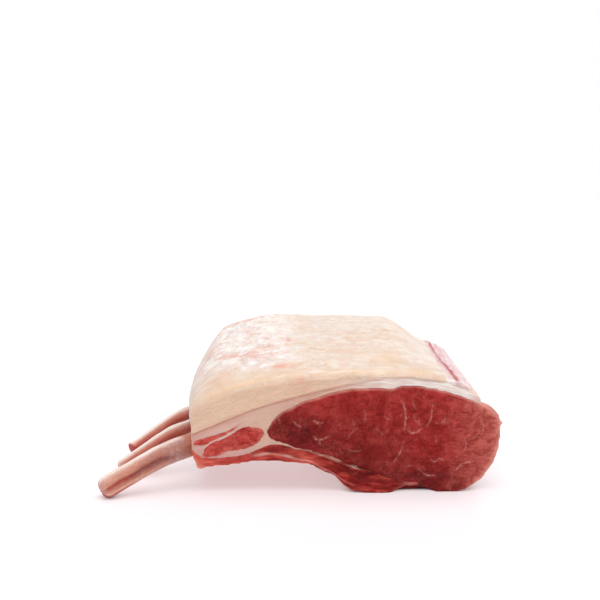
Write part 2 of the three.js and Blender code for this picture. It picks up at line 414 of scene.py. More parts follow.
class Finish:
    """A material under construction: its node tree, its base colour so far and its bump."""

    def __init__(self, name, masks=(), **sockets):
        self.material = bpy.data.materials.new(name)
        self.material.use_nodes = True
        self.tree = self.material.node_tree
        self.shader = self.tree.nodes["Principled BSDF"]
        self.place = node(self.tree, "ShaderNodeTexCoord").outputs["Object"]
        self.flow = node(self.tree, "ShaderNodeAttribute", attribute_name="flow").outputs["Vector"]
        self.mask = {
            mask: node(self.tree, "ShaderNodeAttribute", attribute_name=mask).outputs["Fac"]
            for mask in masks
        }
        self.colour = None
        self.normal = None
        for socket, value in sockets.items():
            self.shader.inputs[socket.replace("_", " ")].default_value = value

    def mottle(self, size, low, high, stretch=(1, 1, 1), along=None, detail=3.0, rough=0.5, warp=0.0):
        """Random blotches of size mm, 0 below one level of the noise and 1 above the other."""
        place = node(self.tree, "ShaderNodeMapping", {"Vector": along or self.place, "Scale": stretch})
        texture = node(
            self.tree,
            "ShaderNodeTexNoise",
            {
                "Vector": place.outputs[0],
                "Scale": per_mm(size),
                "Detail": detail,
                "Roughness": rough,
                "Distortion": warp,
            },
        )
        return node(
            self.tree,
            "ShaderNodeMapRange",
            {"Value": texture.outputs["Fac"], "From Min": low, "From Max": high},
            interpolation_type="SMOOTHSTEP",
        ).outputs[0]

    def bundles(self, size, wander, width):
        """Cut ends of fibre bundles of size mm: a shade for each, and the thin lines between."""
        drift = node(self.tree, "ShaderNodeTexNoise", {"Vector": self.place, "Scale": per_mm(size)})
        moved = node(
            self.tree,
            "ShaderNodeMixRGB",
            {0: wander * size / 1000, 1: self.place, 2: drift.outputs["Color"]},
            blend_type="ADD",
        ).outputs[0]
        cells = node(self.tree, "ShaderNodeTexVoronoi", {"Vector": moved, "Scale": per_mm(size)})
        sides = node(
            self.tree,
            "ShaderNodeTexVoronoi",
            {"Vector": moved, "Scale": per_mm(size)},
            feature="DISTANCE_TO_EDGE",
        )
        lines = node(
            self.tree,
            "ShaderNodeMapRange",
            {"Value": sides.outputs["Distance"], "From Min": width, "From Max": 0.0},
            interpolation_type="SMOOTHSTEP",
        )
        return cells.outputs["Color"], lines.outputs[0]

    def product(self, amounts):
        """The product of several amounts, each a number or another node's output."""
        total = amounts[0]
        for amount in amounts[1:]:
            product = node(self.tree, "ShaderNodeMath", {0: total, 1: amount}, operation="MULTIPLY")
            total = product.outputs[0]
        return total

    def paint(self, code, *amounts, blend="MIX"):
        """Lays a colour over what is there, by the product of the amounts, each from 0 to 1."""
        if self.colour is None:
            self.colour = linear(code)
            return
        self.colour = node(
            self.tree,
            "ShaderNodeMix",
            {0: self.product(amounts), 6: self.colour, 7: linear(code)},
            data_type="RGBA",
            blend_type=blend,
        ).outputs[2]

    def stain(self, code, *amounts):
        """Darkens what is there with a colour, which keeps the pattern under it."""
        self.paint(code, *amounts, blend="MULTIPLY")

    def relief(self, depth, *heights):
        """Adds fine bump: a height from 0 to 1, worth depth in mm."""
        inputs = {"Height": self.product(heights), "Distance": depth / 1000, "Strength": 1.0}
        if self.normal is not None:
            inputs["Normal"] = self.normal
        self.normal = node(self.tree, "ShaderNodeBump", inputs).outputs[0]

    def done(self, wet, dry, dried):
        """Closes the material. It goes from wet to dry, as roughness, where dried goes to 1."""
        rough = node(self.tree, "ShaderNodeMapRange", {"Value": dried, "To Min": wet, "To Max": dry})
        self.tree.links.new(rough.outputs[0], self.shader.inputs["Roughness"])
        self.tree.links.new(self.colour, self.shader.inputs["Base Color"])
        self.tree.links.new(self.normal, self.shader.inputs["Normal"])
        return self.material


def raw_lamb_muscle(name, deep, middle, bright, pale, fat):
    """Raw muscle cut across its grain: wet and translucent. The cut end of each fibre bundle has
    a red of its own, thin tissue runs between them, and veins of fat show pale and pink."""
    meat = Finish(
        name,
        ("dark", "light", "pale", "white"),
        IOR=1.38,
        Specular_IOR_Level=0.14,
        Subsurface_Weight=0.25,
        Subsurface_Radius=(1.0, 0.15, 0.12),
        Subsurface_Scale=0.001,
    )
    blotch = meat.mottle(3.2, 0.38, 0.64, stretch=(0.8, 1, 1.1), detail=5.0, rough=0.6, warp=1.2)
    upright = meat.mottle(0.8, 0.46, 0.66, stretch=(1, 0.5, 0.28), detail=4.0, rough=0.6, warp=1.6)
    level = meat.mottle(0.8, 0.46, 0.66, stretch=(0.28, 0.5, 1), detail=4.0, rough=0.6, warp=1.6)
    patches = meat.mottle(7.0, 0.42, 0.6, detail=2.0, warp=0.8)
    flecks = meat.mottle(0.9, 0.62, 0.72, detail=2.0)
    # a lamb's fibre bundles are under 1 mm across; these are drawn at 1.6 mm, so that they show
    shade, lines = meat.bundles(1.6, 1.3, 0.07)
    meat.paint(middle)
    meat.paint(bright, patches, 0.6)
    meat.paint(bright, shade, 0.2)
    # dark and light are darker and lighter meat, and in places painted shade and painted light: see each
    # cut's masks
    meat.paint(deep, meat.mask["dark"])
    meat.paint(bright, meat.mask["light"])
    meat.paint(pale, meat.mask["pale"])
    meat.stain("#d9b0ae", blotch)
    meat.paint(pale, upright, patches, 0.16)
    meat.stain("#e4d0cf", level)
    meat.paint(pale, lines, patches, 0.1)
    meat.paint(fat, flecks, 0.1)
    meat.paint(fat, meat.mask["white"])
    meat.relief(0.1, blotch)
    meat.relief(0.05, upright)
    meat.relief(0.05, level)
    return meat.done(0.36, 0.5, patches)


def raw_rib_muscle():
    """The thin muscles between the ribs, cut along their strands: bright, wet, stringy red, with
    the edges of pale sheets between them and a film over the inside."""
    meat = Finish(
        "raw_rib_muscle",
        ("dark", "light", "tip", "rich", "pale", "white"),
        IOR=1.38,
        Specular_IOR_Level=0.14,
        Subsurface_Weight=0.25,
        Subsurface_Radius=(1.0, 0.22, 0.16),
        Subsurface_Scale=0.001,
        Coat_Weight=0.05,
        Coat_Roughness=0.25,
    )
    # strands about 0.7 mm thick and 6 mm long
    strands = meat.mottle(
        0.9, 0.36, 0.66, stretch=(0.16, 0.5, 1.3), along=meat.flow, detail=4.0, rough=0.6
    )
    patches = meat.mottle(4.0, 0.42, 0.62, detail=2.0)
    meat.paint("#c43d39")
    meat.paint("#da6152", patches, 0.45)
    meat.paint("#b32420", meat.mask["rich"])
    # dark: darker meat, and painted shade in the hollow under the thin end
    meat.paint("#751a1a", meat.mask["dark"])
    meat.paint("#fb7966", meat.mask["light"])
    meat.paint("#f0bba3", meat.mask["tip"])
    meat.stain("#d2b1ae", strands)
    meat.paint("#df9c8c", meat.mask["pale"])
    meat.paint("#ecd0c6", meat.mask["white"])
    meat.relief(0.22, strands)
    meat.relief(0.05, meat.mottle(0.5, 0.4, 0.66, detail=2.0))
    return meat.done(0.28, 0.45, patches)


def raw_back_fat():
    """Raw back fat under its papery membrane: waxy cream, translucent, pink where the skin was
    pulled off it and chalky white where shreds of the membrane lift and dry."""
    fat = Finish(
        "raw_back_fat",
        ("cut", "warm", "papery", "pink", "white", "red"),
        IOR=1.45,
        Specular_IOR_Level=0.35,
        Subsurface_Weight=0.3,
        Subsurface_Radius=(1.0, 0.6, 0.4),
        Subsurface_Scale=0.0014,
    )
    cloud = fat.mottle(9.0, 0.38, 0.66, stretch=(0.6, 1, 1), detail=4.0)
    streaks = fat.mottle(
        1.8, 0.44, 0.64, stretch=(0.3, 0.5, 1), along=fat.flow, detail=5.0, rough=0.62, warp=0.4
    )
    grain = fat.mottle(1.4, 0.4, 0.62, stretch=(0.5, 0.5, 1), along=fat.flow, detail=5.0, rough=0.65)
    torn = fat.mottle(
        2.4, 0.42, 0.56, stretch=(0.3, 0.7, 0.8), along=fat.flow, detail=7.0, rough=0.7, warp=0.3
    )
    shreds = fat.mottle(
        2.2, 0.41, 0.57, stretch=(0.55, 0.7, 0.8), along=fat.flow, detail=7.0, rough=0.74, warp=0.4
    )
    # painted shade under the lifted shreds of membrane and in the folds among them
    shade_under_shreds = fat.mottle(
        1.3, 0.5, 0.62, stretch=(0.45, 0.7, 0.8), along=fat.flow, detail=5.0, rough=0.7, warp=0.6
    )
    # fat is laid down in sheets 0.6 mm thick, and the dried membrane folds about 2 mm apart
    sheets = fat.mottle(0.6, 0.4, 0.66, stretch=(0.07, 1, 1), along=fat.flow, detail=2.0)
    _, folds = fat.bundles(1.9, 1.8, 0.1)
    fat.paint("#ebded4")
    fat.paint("#e3c5aa", cloud, 0.65)
    fat.paint("#f6eee8", streaks, 0.5)
    fat.paint("#d9ac8e", grain, 0.35)
    fat.paint("#ecc8a4", fat.mask["warm"])
    fat.paint("#eecdb1", fat.mask["cut"])
    fat.paint("#e0ae97", sheets, fat.mask["cut"], 0.12)
    fat.paint("#f1dcd3", fat.mask["papery"], 0.75)
    fat.paint("#fffaf6", shreds, fat.mask["papery"], 0.95)
    fat.paint("#dcbcb0", shade_under_shreds, fat.mask["papery"], 0.4)
    fat.paint("#e6bfb1", folds, shade_under_shreds, fat.mask["papery"], 0.7)
    fat.paint("#fffdfb", folds, shreds, fat.mask["papery"], 0.9)
    fat.paint("#e9a591", torn, fat.mask["pink"], 0.85)
    fat.paint("#fff6f0", fat.mask["white"])
    fat.paint("#cf6a52", fat.mask["red"])
    fat.relief(0.08, shreds, fat.mask["papery"])
    fat.relief(0.06, folds, fat.mask["papery"])
    fat.relief(0.12, grain)
    fat.relief(0.1, torn)
    return fat.done(0.4, 0.62, fat.mask["papery"])


def raw_seam_fat():
    """Fat and fascia between the muscles: softer, moister and pinker than the cap, laid down in
    thin sheets that show as fine lines in the cut."""
    fat = Finish(
        "raw_seam_fat",
        ("white", "pink", "lined", "lilac", "red"),
        IOR=1.45,
        Specular_IOR_Level=0.35,
        Subsurface_Weight=0.3,
        Subsurface_Radius=(1.0, 0.5, 0.35),
        Subsurface_Scale=0.0014,
    )
    sheets = fat.mottle(0.6, 0.4, 0.64, stretch=(0.08, 0.4, 1.4), along=fat.flow, detail=3.0, warp=0.3)
    shreds = fat.mottle(1.0, 0.42, 0.62, stretch=(1, 0.15, 1), detail=4.0, rough=0.62)
    fat.paint("#e0bba7")
    fat.paint("#d8a492", fat.mottle(4.0, 0.4, 0.7), 0.4)
    fat.paint("#fbf1ea", fat.mask["white"])
    fat.paint("#d3948a", fat.mask["pink"])
    fat.stain("#d4b3aa", sheets, fat.mask["lined"])
    fat.paint("#eedada", fat.mask["lilac"])
    fat.paint("#d9a3a4", shreds, fat.mask["lilac"], 0.6)
    fat.paint("#a8524a", fat.mask["red"])
    fat.relief(0.1, sheets)
    return fat.done(0.36, 0.5, sheets)


def scraped_rib_bone():
    """Rib bone scraped by the knife: hard, smooth and buff, with a painted highlight along its crest,
    dark along its groove, red underneath with blood and painted shade, and grey film left near the meat."""
    bone = Finish(
        "scraped_rib_bone",
        ("pale", "root", "groove", "under", "tip", "marrow", "film"),
        IOR=1.5,
        Specular_IOR_Level=0.16,
        Subsurface_Weight=0.2,
        Subsurface_Radius=(1.0, 0.4, 0.3),
        Subsurface_Scale=0.001,
    )
    streaks = bone.mottle(1.5, 0.36, 0.68, stretch=(0.16, 1, 1), along=bone.flow, detail=5.0, rough=0.65)
    # bone's pores are a tenth of a millimetre; they are drawn at 0.8 mm, so that they show
    pores = bone.mottle(0.8, 0.4, 0.66, stretch=(0.5, 1, 1), along=bone.flow, detail=3.0)
    spots = bone.mottle(1.8, 0.5, 0.62, detail=4.0, rough=0.65)
    bone.paint("#d18f78")
    # pale: a painted highlight along the crest, where the light from above catches it; bone 1's lower
    # strip is a little paler
    bone.paint("#fbebe2", bone.mask["pale"])
    bone.paint("#ab7067", bone.mask["root"])
    bone.paint("#8c4846", bone.mask["groove"])
    # under: blood red, deepened by painted shade on the undersides of bones 2 and 3
    bone.paint("#b5423b", bone.mask["under"])
    bone.paint("#f5c9b8", bone.mask["tip"])
    bone.paint("#c88a79", streaks, 0.3)
    bone.stain("#f3e8e5", pores)
    # more painted highlight on the crest
    bone.paint("#fdf0e8", bone.mask["pale"], bone.mask["pale"], 0.8)
    bone.paint("#b28c8b", bone.mask["film"], 0.6)
    bone.paint("#e6cfc9", spots, bone.mask["film"], 0.5)
    bone.paint("#b32822", bone.mask["marrow"])
    bone.relief(0.12, streaks)
    bone.relief(0.1, spots, bone.mask["film"])
    return bone.done(0.32, 0.5, bone.mottle(3.0, 0.4, 0.6))


def chine_membrane():
    """Thin meat under its silver skin: pale lilac film, red where the meat shows through."""
    film = Finish(
        "membrane_over_meat",
        ("dark", "pale"),
        IOR=1.4,
        Specular_IOR_Level=0.35,
        Subsurface_Weight=0.2,
        Subsurface_Radius=(1.0, 0.4, 0.35),
        Subsurface_Scale=0.001,
        Coat_Weight=0.1,
        Coat_Roughness=0.25,
    )
    # the film's threads run along the rack, 0.7 mm apart
    strands = film.mottle(0.7, 0.4, 0.62, stretch=(1, 0.1, 1), detail=4.0, rough=0.6, warp=0.4)
    film.paint("#e8cacc")
    film.paint("#d49a9e", strands, 0.6)
    film.paint("#b8333a", film.mask["dark"])
    film.paint("#f6e9e6", film.mask["pale"])
    film.relief(0.12, strands)
    return film.done(0.28, 0.45, strands)


# ---------------------------------------------------------------- veins

# Veins in the loin's front cut: how plainly each shows, and the points [x, z] it runs through
EYE_VEINS = [
    (0.4, [(21.9, 28.2), (22.2, 25.6), (21.8, 23.1)]),
    (0.75, [(34.7, 30.8), (35.5, 28.2), (35.8, 25.6), (35.4, 22.2), (35.3, 20.6)]),
    (0.7, [(35.3, 17.4), (34.6, 14.6), (33.4, 12.2)]),
    (0.35, [(33.4, 12.2), (31.8, 9.8)]),
    (0.7, [(44.8, 30.0), (44.7, 27.4), (44.3, 24.8), (43.2, 22.6)]),
    (0.4, [(40.3, 25.2), (40.5, 22.4)]),
    (0.8, [(36.4, 21.4), (37.8, 20.2), (39.6, 20.4), (41.2, 21.8)]),
    (0.6, [(46.1, 23.4), (48.2, 23.9), (50.6, 23.4)]),
    (0.5, [(48.8, 23.9), (49.2, 25.2)]),
    (0.5, [(25.3, 21.3), (26.6, 20.9), (27.9, 19.5)]),
    (0.4, [(16.4, 14.2), (18.6, 13.9), (20.8, 14.2)]),
    (0.6, [(44.5, 10.8), (45.8, 10.2), (47.6, 11.0), (49.8, 10.4)]),
    (0.75, [(40.2, 8.2), (41.4, 6.6), (43.6, 5.3), (46.9, 5.3)]),
    (0.7, [(53.2, 7.0), (54.8, 8.8), (57.2, 9.8), (59.6, 10.1)]),
    (0.45, [(56.1, 18.0), (56.6, 15.8), (55.2, 13.2)]),
    (0.3, [(61.8, 24.4), (62.4, 21.2), (61.4, 18.8)]),
    (0.4, [(-7.3, 25.3), (-7.0, 23.4)]),
    (0.5, [(-2.6, 24.9), (-1.6, 23.4), (0.4, 22.2)]),
    (0.75, [(4.2, 24.6), (6.2, 23.6), (7.6, 24.0)]),
    (0.6, [(6.2, 23.6), (6.6, 22.0)]),
    (0.7, [(4.4, 19.0), (5.8, 17.9), (7.6, 18.0), (10.2, 19.3)]),
    (0.5, [(6.8, 17.8), (6.6, 16.2)]),
    (0.3, [(17.5, 24.4), (18.6, 22.6)]),
    (0.35, [(28.4, 26.0), (30.2, 24.6)]),
]
VEIN_WIDTH = 0.17  # drawn a little wider at the rear, where the grain is coarser
REAR_VEIN = 1.6
VEIN_REACH = 1.5  # how far from a cut the skin's points take its veins


def veins(skin, seed, drawn=(), loose=0, area=None):
    """How plainly a vein shows at each point of both cuts: drawn veins at the front and, moved a
    little, at the rear, and loose ones scattered over an area ((x, z) low, (x, z) high)."""
    rng = random.Random(seed)
    laid = [(0, plain, np.array(points)) for plain, points in drawn]
    for _ in range(loose * 2):
        start = np.array([rng.uniform(low, high) for low, high in zip(*area)])
        heading, turn = rng.uniform(0, 2 * math.pi), rng.uniform(-0.4, 0.4)
        points = [start]
        for _ in range(rng.randrange(2, 5)):
            points.append(points[-1] + 1.4 * np.array([math.cos(heading), math.sin(heading)]))
            heading += turn
        laid.append((rng.randrange(2), rng.uniform(0.1, 0.35), np.array(points)))
    for _, plain, points in laid[: len(drawn)]:
        laid.append((1, plain, points + (rng.uniform(-5, 5), rng.uniform(-2, 2))))
    rows = []
    for i, (at_rear, plain, points) in enumerate(laid):
        line = smooth_line(points, False, 0.12)
        places = np.stack([line[:, 0], np.full(len(line), i * 3.1), line[:, 1]], 1)
        wander = [lumps(places, 0.9, seed, 3), lumps(places, 0.9, seed + 1, 3)]
        line = line + 0.3 * np.stack(wander, 1)
        fade = np.sin(np.pi * (np.arange(len(line)) + 1) / (len(line) + 1)) ** 0.4
        shown = plain * fade * np.clip(0.65 + 0.9 * lumps(places, 1.1, seed + 2, 2), 0.05, 1)
        rows += [(x, z, at_rear, show) for (x, z), show in zip(line.tolist(), shown.tolist())]
    # the two cuts' veins are looked up in one tree, in which they lie far apart
    tree = kdtree.KDTree(len(rows))
    for i, (x, z, at_rear, _) in enumerate(rows):
        tree.insert((x, 1000 * at_rear, z), i)
    tree.balance()
    middle = (skin.front + skin.rear) / 2
    shown = np.zeros(len(skin.points))
    for i in np.flatnonzero(skin.end < VEIN_REACH):
        x, y, z = skin.points[i]
        _, row, distance = tree.find((x, 1000 * (y > middle), z))
        spread = distance / (VEIN_WIDTH * (REAR_VEIN if y > middle else 1))
        core, halo = math.exp(-(spread**2)), math.exp(-((spread / 3) ** 2))
        shown[i] = rows[row][3] * (0.82 * core + 0.18 * halo)
    return shown


# ---------------------------------------------------------------- the layers

def height_at(x, points):
    """The height at x of the smooth curve through the points."""
    line = smooth_line(points, False)
    return np.interp(x, line[:, 0], line[:, 1])


def patch(x, y, at, size, slope=0.0):
    """1 in the middle of a soft oval patch, fading to 0 outside it."""
    dx = x - at[0]
    dy = y - at[1] - slope * dx
    return np.exp(-((dx / size[0]) ** 2) - (dy / size[1]) ** 2)


def wavy(outline, amount, size, seed):
    """An outline with small irregular waves in it."""
    points = np.stack([outline[:, 0], np.zeros(len(outline)), outline[:, 1]], 1)
    wave = lumps(points, size, seed, 2)
    return outline + amount * wave[:, None] * square_to(outline)


def depth_in(outline, places):
    """How deep each place [x, z] lies inside a closed outline; less than 0 outside it."""
    distance, _ = nearest_on(outline, places)
    x, z = places.T
    held = np.zeros(len(places), bool)
    for (x1, z1), (x2, z2) in zip(outline.tolist(), np.roll(outline, -1, 0).tolist()):
        if z1 != z2:
            held ^= ((z1 > z) != (z2 > z)) & (x < x1 + (z - z1) * (x2 - x1) / (z2 - z1))
    return np.where(held, distance, -distance)


eye_outline = widened(wavy(smooth_line(LOIN_EYE), 0.3, 3.5, 1), CLOSING)
cap_outline = widened(wavy(smooth_line(CAP_MUSCLE), 0.45, 3.0, 2), 0.1)
strip_outline = wavy(smooth_line(CAP_STRIP), 0.2, 2.5, 3)
rib_outline = widened(wavy(band_outline(RIB_BAND), 0.2, 3.0, 4), CLOSING)


def make_loin_eye(material):
    """The loin: a wet cut that swells out of its fat, veined, with its free side at the chine."""
    skin = Skin("loin", eye_outline, 0.75, (2, 1))
    x, y, z = skin.points.T
    cut, inside = skin.cut, skin.inside
    shown = veins(skin, 5, EYE_VEINS, loose=12, area=((-4, 8), (64, 33)))
    grain = lumps(skin.points, (2.2, 3.0, 1.8), 1, 4)
    blotch = lumps(skin.points, 9, 2, 2)
    # the cut swells a little out of the fat round it, and rolls back where nothing holds it
    settled = 1 - np.exp(-inside / 1.4)
    rolled = smoothstep(x, 57, 66) * np.exp(-inside / 2.6)
    # its weight presses a foot out over the board, more so at the front
    foot = 1.6 * smoothstep(z, 6, 0) * smoothstep(x, 64, 56) * np.where(y < RACK_LENGTH / 2, 1, 0.4)
    foot = foot * (1 - 0.9 * smoothstep(x, 32, 35) * smoothstep(x, 47, 45))
    relief = cut * settled * (0.14 * grain + 0.2 * blotch)
    skin.push_cut(0.45 * settled - 0.02 - 0.7 * rolled + foot + relief)
    soft = 0.35 * lumps(skin.points, (9, 16, 9), 3)
    skin.raise_by(skin.side * (soft - 0.1 + 0.4 * smoothstep(x, 58, 66)))
    # it sags on to the board behind the notch in its lower edge
    notch = smoothstep(x, 33, 36) * smoothstep(x, 46.5, 44) * smoothstep(z, 7, 3) * skin.side
    skin.points[:, 2] -= 2.6 * notch * smoothstep(y, 0.6, 2.2)
    # behind the cut its free side draws in
    drawn_in = smoothstep(x, 57, 63) * smoothstep(z, 12, 26) * smoothstep(y, 0.8, 9)
    skin.raise_by(-2.0 * drawn_in * skin.side)
    # a shred of film stands out at its edge
    shred = np.exp(-((x - 68.4) ** 2 + (z - 23.3) ** 2) / 0.5 - (y / 1.2) ** 2)
    skin.points[:, 0] += shred
    ragged = 0.55 + 0.5 * lumps(skin.points, (1.4, 3, 1.4), 8)
    top_rim = soft_band(inside, 0.5, 0.45) * cut * smoothstep(z, 20, 30)
    right_rim = np.exp(-inside / 1.3) * smoothstep(y, 3, 0.5) * smoothstep(x, 54, 62)
    silver = skin.side * (1 - notch) * smoothstep(lumps(skin.points, (3, 14, 3), 4), -0.35, 0.5)
    # dark: darker meat in patches and towards the bottom; along the bottom edge, where the cut turns
    # under, and in the notch it is painted shade
    dark = 0.8 * patch(x, z, (-3, 21), (11, 7)) + 0.45 * patch(x, z, (15, 13), (14, 5), -0.35)
    dark += 0.2 * patch(x, z, (34, 12), (9, 5)) + 0.6 * patch(x, z, (46, 4), (17, 4))
    dark += 0.2 * smoothstep(z, 18, 6) + 0.25 * patch(x, z, (23, 20), (11, 6))
    dark += 0.5 * smoothstep(z, 5, 0.5) * smoothstep(x, 20, 36) + notch * smoothstep(y, 0.2, 1.0)
    # light: lighter meat in patches and along the top; the broad rise towards the right side is painted
    # light, as if lit from behind
    light = 0.9 * smoothstep(x, 40, 66) + 0.5 * patch(x, z, (42, 17), (7, 6))
    light += 0.75 * smoothstep(inside, 8, 0) * smoothstep(z, 22, 31)
    light += 0.2 * patch(x, z, (10, 30), (9, 3), 0.3)
    silver_web = silver * smoothstep(lumps(skin.points, (2, 9, 2), 9), 0, 0.5)
    # pale and white: the rims are the meat's own pale edges, but the top rim is also painted light that
    # fills the shade against the fat, and the broad pale on the right is painted light
    skin.masks = {
        "dark": np.maximum(cut, notch) * dark * (0.8 + 0.5 * grain),
        "light": cut * light * (0.85 + 0.5 * blotch + 0.3 * grain),
        "pale": top_rim * ragged + right_rim + 0.5 * cut * smoothstep(x, 46, 66) + 0.4 * silver,
        "white": 1.1 * shown * cut + 0.9 * shred + 0.4 * top_rim + 0.95 * right_rim**2
        + 0.3 * silver_web,
    }
    finish_piece(skin, material, "loin", "loin_eye")


def make_cap_muscle(material):
    """The small muscle in the fat at the rib side, darkest along its upper edge."""
    skin = Skin("cap_meat", cap_outline, 0.5, (1, 1))
    x, _, z = skin.points.T
    cut, inside = skin.cut, skin.inside
    shown = veins(skin, 11, loose=3, area=((-28, 14), (-16, 20)))
    grain = lumps(skin.points, (2.4, 2.4, 1.8), 5, 4)
    settled = 1 - np.exp(-inside / 1.2)
    skin.push_cut(0.4 * settled - 0.05 + cut * settled * 0.15 * grain)
    above = z - 0.5 * (x + 31) - 15.2
    shadow = np.exp(-inside / 0.35) * smoothstep(above, 0, 0.8)
    skin.masks = {
        "dark": cut * (
            0.2 * smoothstep(grain, 0.05, 0.5) + patch(x, z, (-18.4, 16.6), (0.6, 0.5))
            + 0.3 * patch(x, z, (-24.5, 17.0), (3.5, 1.6), 0.4) + 0.7 * shadow * smoothstep(-x, 20, 24)
        ),
        "light": cut * (
            0.2 + 0.4 * smoothstep(-grain, 0.0, 0.4) + 0.8 * smoothstep(-x, 23, 30)
            + 0.4 * patch(x, z, (-15, 17), (4, 2), 0.5)
        ),
        "pale": 0.7 * np.exp(-inside / 0.8) * cut * smoothstep(above, 0.5, -0.5) + 0.4 * (1 - cut),
        "white": 0.3 * shown * cut,
    }
    finish_piece(skin, material, "cap_muscle", "cap_muscle")


def make_cap_strip(material):
    """The thin strip of muscle above the cap muscle."""
    skin = Skin("strip_meat", strip_outline, 0.4)
    x, _, z = skin.points.T
    grain = lumps(skin.points, (2.4, 2.4, 0.9), 61, 4)
    skin.push_cut(0.12 + skin.cut * 0.2 * grain)
    skin.masks = {
        "dark": 0.2 * smoothstep(grain, 0.15, 0.5) * skin.cut,
        "light": 0.9 + 0.1 * smoothstep(-grain, -0.3, 0.3),
        "pale": 0.4 * smoothstep(lumps(skin.points, (5, 7, 0.7), 63), 0.0, 0.45)
        + 0.2 * smoothstep(x, -27, -21) + 0.4 * smoothstep(-x, 35, 36.3),
        "white": 0.25 * skin.cut * np.exp(-skin.inside / 0.3),
    }
    finish_piece(skin, material, "cap_muscle", "cap_strip")


def make_chine_strip(material):
    """The edge of a muscle at the chine side, seen through its membrane."""
    outline = widened(smooth_line(CHINE_STRIP), CLOSING)
    skin = Skin("chine_meat", outline, 0.32, (1, 0), 0.6, RACK_LENGTH - 0.4)
    x, y, z = skin.points.T
    rough = lumps(skin.points, (1.6, 6, 1.6), 71, 4)
    skin.raise_by(0.12 * rough)
    skin.points[:, 2] += 1.1 * smoothstep(y, 30, 78) * soft_band(x, 50.6, 1.6)
    across = (x - 50.4) / 7.5 + 0.04 * lumps(np.stack([0 * y, y, 0 * y], 1), (40, 11, 40), 72)
    near = smoothstep(y, 60, 8)
    edge_line = soft_band(across, 0.07, 0.04) * (0.6 + 0.5 * lumps(skin.points, (40, 9, 40), 73))
    streak = np.interp(y, [2, 12, 30, 74], [0.44, 0.34, 0.25, 0.1])
    second = soft_band(across, streak, 0.05 + 0.07 * near) * smoothstep(y, 79, 70)
    wisps = smoothstep(lumps(skin.points, (0.9, 14, 0.9), 74), 0.1, 0.5) * smoothstep(across, 0.55, 0.3)
    skin.masks = {
        "dark": 0.6 * edge_line + second * smoothstep(y, 0.8, 3) + 0.3 * wisps,
        "pale": (1 - second) * (
            0.5 * smoothstep(-rough, 0.0, 0.4) * smoothstep(across, 0.1, 0.3) + 0.7 * smoothstep(y, 5, 1)
            + 0.5 * near * smoothstep(across, streak - 0.06, streak - 0.16)
        ),
    }
    finish_piece(skin, material, "chine_meat", "chine_strip")


